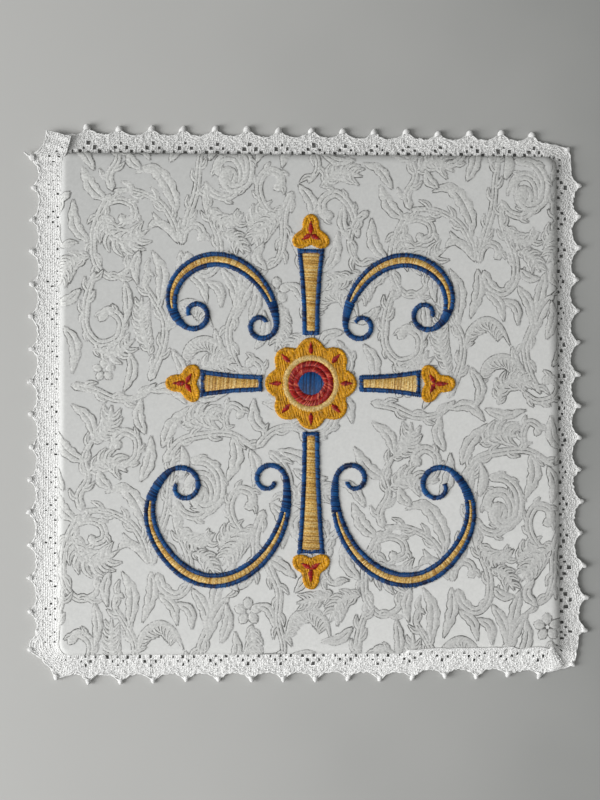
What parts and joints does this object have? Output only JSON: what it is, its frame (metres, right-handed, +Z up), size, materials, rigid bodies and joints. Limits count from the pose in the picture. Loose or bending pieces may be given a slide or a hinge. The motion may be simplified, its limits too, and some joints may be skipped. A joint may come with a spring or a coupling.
{
  "type": "chalice pall",
  "caption": "Stiff square cloth cover laid over a chalice: flat damask panel with a scalloped lace edging and a raised embroidered cross among scrolls.",
  "frame": {"origin": "centre of the panel's flat underside, which rests on the surface", "axes": "+Z up out of the embroidered face, +Y towards the top of the embroidery, +X to its right"},
  "size_m": [0.1782, 0.1782, 0.0048],
  "materials": {
    "damask": "white figured damask, satin figure on a matt ground",
    "lace": "white cotton bobbin lace, matt",
    "gold_thread": "metallic gold embroidery thread",
    "blue_thread": "royal blue rayon satin stitch",
    "orange_thread": "golden orange rayon satin stitch",
    "red_thread": "red rayon satin stitch"
  },
  "bodies": {
    "root": {"arm_bottom_core": "gold_thread", "arm_bottom_outline": "blue_thread", "arm_left_core": "gold_thread", "arm_left_outline": "blue_thread", "arm_right_core": "gold_thread", "arm_right_outline": "blue_thread", "arm_top_core": "gold_thread", "arm_top_outline": "blue_thread", "boss_centre": "blue_thread", "boss_petals": "orange_thread", "boss_ring": "red_thread", "bud_bottom": "orange_thread", "bud_left": "orange_thread", "bud_right": "orange_thread", "bud_top": "orange_thread", "curl_lower_first_left": "blue_thread", "curl_lower_first_right": "blue_thread", "curl_lower_last_left": "blue_thread", "curl_lower_last_right": "blue_thread", "curl_upper_first_left": "blue_thread", "curl_upper_first_right": "blue_thread", "curl_upper_last_left": "blue_thread", "curl_upper_last_right": "blue_thread", "lace_edging": "lace", "pall_panel": "damask", "scroll_lower_left_core": "gold_thread", "scroll_lower_left_outline": "blue_thread", "scroll_lower_right_core": "gold_thread", "scroll_lower_right_outline": "blue_thread", "scroll_upper_left_core": "gold_thread", "scroll_upper_left_outline": "blue_thread", "scroll_upper_right_core": "gold_thread", "scroll_upper_right_outline": "blue_thread"}
  },
  "joints": []
}
